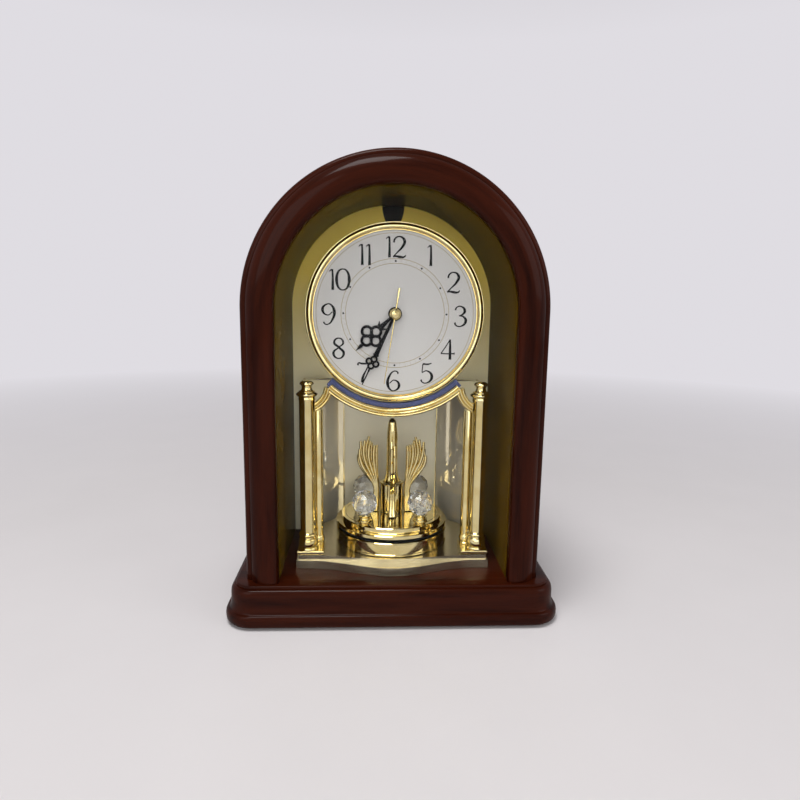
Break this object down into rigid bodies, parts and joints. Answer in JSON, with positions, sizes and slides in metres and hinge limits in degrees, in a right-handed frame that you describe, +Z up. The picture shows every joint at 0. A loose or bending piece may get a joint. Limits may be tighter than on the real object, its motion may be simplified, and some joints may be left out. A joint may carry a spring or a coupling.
{
  "type": "desk clock",
  "caption": "Arched wood mantel clock with a glazed front, a round dial with three hands on a quartz movement, and a motor-driven ornament that turns in front of mirrors.",
  "frame": {"origin": "on the table under the middle of the base", "axes": "+Z up, the dial faces -Y, +X to the right seen from the front"},
  "size_m": [0.218, 0.138, 0.296],
  "materials": {
    "mahogany": "stained and lacquered, semi-gloss",
    "felt": "felt",
    "clear_glass": "clear float glass",
    "olive_gloss": "glossy film on plastic sheet",
    "satin_gold": "satin gold anodised",
    "dark_board": "dark moulded board",
    "steel": "plain",
    "gold": "polished gold plating on plastic",
    "silvered": "silvered",
    "slate_blue": "metallic blue",
    "pale_dial": "satin paint with printed numerals",
    "black_hand": "black",
    "dark_plastic": "moulded",
    "green_board": "solder resist",
    "copper": "enamelled wire",
    "white_plastic": "moulded",
    "brass": "turned",
    "battery_sleeve": "printed sleeve without a mark",
    "crystal": "cut and polished"
  },
  "bodies": {
    "case": {"base_plinth": "mahogany", "base_felt": "felt", "arch_frame": "mahogany", "arch_hoop": "mahogany", "front_glass": "clear_glass", "inner_lining": "olive_gloss", "back_panel": "satin_gold", "rear_cover": "dark_board", "door_pin": "steel", "rear_screw_1": "steel", "rear_screw_2": "steel", "rear_screw_3": "steel", "rear_screw_4": "steel", "platform": "gold", "mirror_tray": "gold", "mirror_centre": "silvered", "mirror_left": "silvered", "mirror_right": "silvered", "column_left": "gold", "column_right": "gold", "yoke": "gold", "dial_collar": "slate_blue", "dial_plate": "pale_dial", "dial_bezel": "gold", "dial_drum": "dark_plastic", "movement_case": "dark_plastic", "movement_cover": "dark_plastic", "circuit_board": "green_board", "drive_coil": "copper", "battery": "battery_sleeve", "contact_plus": "steel", "contact_minus": "steel", "drum_base": "gold", "drum_deck": "dark_plastic", "drive_motor": "steel"},
    "door": {"rear_door": "dark_board"},
    "second": {"second_hand": "gold", "second_wheel": "white_plastic"},
    "rotor_shaft": {"rotor": "steel"},
    "fifth": {"fifth_wheel": "white_plastic"},
    "third": {"third_wheel": "white_plastic"},
    "centre": {"centre_wheel": "white_plastic"},
    "minute": {"minute_hand": "black_hand", "minute_pipe": "brass"},
    "setting": {"minute_wheel": "white_plastic", "set_knob": "dark_plastic"},
    "hour": {"hour_hand": "black_hand", "hour_wheel": "white_plastic"},
    "ornament": {"turntable": "gold", "turntable_gear": "white_plastic", "spire": "gold", "frond_1": "gold", "frond_2": "gold", "frond_3": "gold", "frond_4": "gold", "crystal_1": "crystal", "crystal_2": "crystal", "crystal_3": "crystal", "crystal_4": "crystal"},
    "motor_shaft": {"motor_pinion": "brass"}
  },
  "joints": [
    {"name": "door_hinge", "type": "hinge", "parent": "case", "child": "door", "pos_m": [-0.044, 0.0597, 0.1982], "axis": [0, 0, 1], "range_deg": [0, 110]},
    {"name": "second_turn", "type": "hinge", "parent": "case", "child": "second", "pos_m": [0, -0.0227, 0.1982], "axis": [0, 1, 0], "continuous": true},
    {"name": "rotor_turn", "type": "hinge", "parent": "case", "child": "rotor_shaft", "pos_m": [-0.01619, -0.0227, 0.20807], "axis": [0, 1, 0], "continuous": true},
    {"name": "fifth_turn", "type": "hinge", "parent": "case", "child": "fifth", "pos_m": [-0.0126, -0.0227, 0.1982], "axis": [0, 1, 0], "continuous": true},
    {"name": "third_turn", "type": "hinge", "parent": "case", "child": "third", "pos_m": [0, -0.0227, 0.21095], "axis": [0, 1, 0], "continuous": true},
    {"name": "centre_turn", "type": "hinge", "parent": "case", "child": "centre", "pos_m": [0, -0.0227, 0.1982], "axis": [0, 1, 0], "continuous": true},
    {"name": "minute_turn", "type": "hinge", "parent": "case", "child": "minute", "pos_m": [0, -0.0227, 0.1982], "axis": [0, 1, 0], "continuous": true},
    {"name": "setting_turn", "type": "hinge", "parent": "case", "child": "setting", "pos_m": [0.013, -0.0227, 0.1982], "axis": [0, 1, 0], "continuous": true},
    {"name": "hour_turn", "type": "hinge", "parent": "case", "child": "hour", "pos_m": [0, -0.0227, 0.1982], "axis": [0, 1, 0], "continuous": true},
    {"name": "ornament_turn", "type": "hinge", "parent": "case", "child": "ornament", "pos_m": [0, 0, 0.05], "axis": [0, 0, 1], "continuous": true},
    {"name": "motor_turn", "type": "hinge", "parent": "case", "child": "motor_shaft", "pos_m": [0.018, 0, 0.042], "axis": [0, 0, 1], "continuous": true}
  ],
  "couplings": [
    {"joint": "rotor_turn", "follows": "second_turn", "ratio": 30},
    {"joint": "fifth_turn", "follows": "second_turn", "ratio": -5},
    {"joint": "third_turn", "follows": "second_turn", "ratio": -0.13333},
    {"joint": "centre_turn", "follows": "second_turn", "ratio": 0.016667},
    {"joint": "setting_turn", "follows": "minute_turn", "ratio": -0.33333},
    {"joint": "hour_turn", "follows": "minute_turn", "ratio": 0.083333},
    {"joint": "motor_turn", "follows": "ornament_turn", "ratio": -4}
  ]
}
